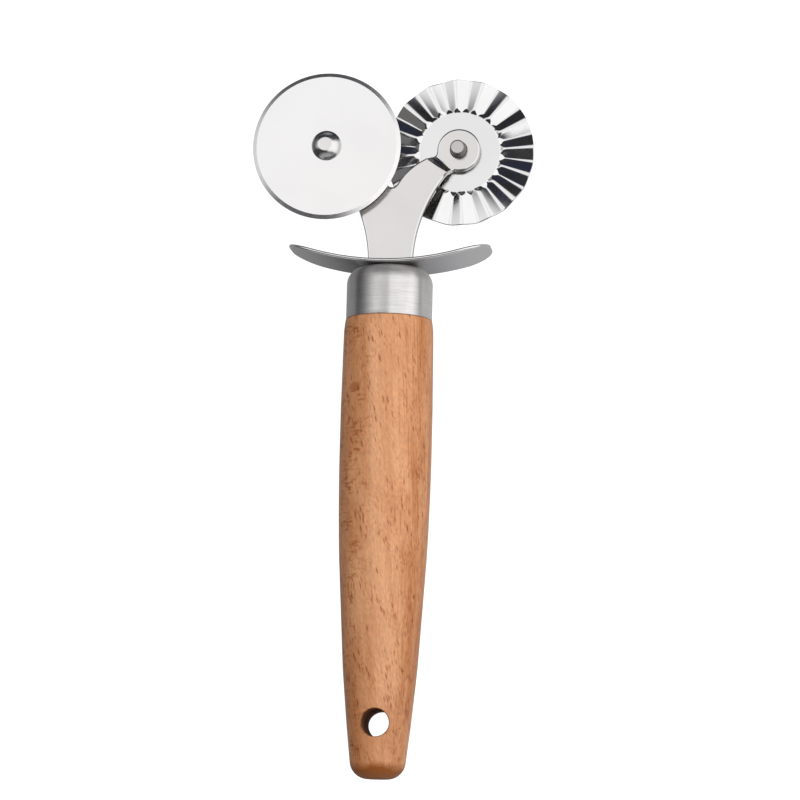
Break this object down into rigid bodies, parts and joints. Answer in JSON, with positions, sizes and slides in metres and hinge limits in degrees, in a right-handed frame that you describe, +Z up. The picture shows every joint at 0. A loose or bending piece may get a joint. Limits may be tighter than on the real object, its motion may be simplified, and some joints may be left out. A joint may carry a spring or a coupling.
{
  "type": "double pastry wheel",
  "caption": "Hand pastry cutter: a plain and a fluted steel wheel run side by side on a forked plate, with a finger guard, a ferrule and a turned wooden handle with a hanging hole.",
  "frame": {"origin": "middle of the bounding box on the table that the tool lies on", "axes": "+X across the two wheels towards the fluted one, +Y along the handle from the butt to the wheels, +Z up from the table, along both wheel axles"},
  "size_m": [0.075, 0.188, 0.0244],
  "materials": {
    "beech": "satin",
    "ferrule_steel": "brushed",
    "guard_steel": "polished",
    "fork_steel": "satin",
    "wheel_steel": "polished",
    "rivet_steel": "polished",
    "washer_steel": "plain",
    "adhesive": "matte"
  },
  "bodies": {
    "frame": {"handle": "beech", "ferrule": "ferrule_steel", "finger_guard": "guard_steel", "fork": "fork_steel", "tang_adhesive": "adhesive", "plain_wheel_rivet": "rivet_steel", "fluted_wheel_rivet": "rivet_steel", "plain_wheel_washer": "washer_steel", "fluted_wheel_washer": "washer_steel"},
    "plain_wheel": {"plain_wheel": "wheel_steel"},
    "fluted_wheel": {"fluted_wheel": "wheel_steel"}
  },
  "joints": [
    {"name": "plain_wheel_spin", "type": "hinge", "parent": "frame", "child": "plain_wheel", "pos_m": [-0.0175, 0.07405, 0.01618], "axis": [0, 0, 1], "continuous": true},
    {"name": "fluted_wheel_spin", "type": "hinge", "parent": "frame", "child": "fluted_wheel", "pos_m": [0.0175, 0.07405, 0.00828], "axis": [0, 0, 1], "continuous": true}
  ]
}
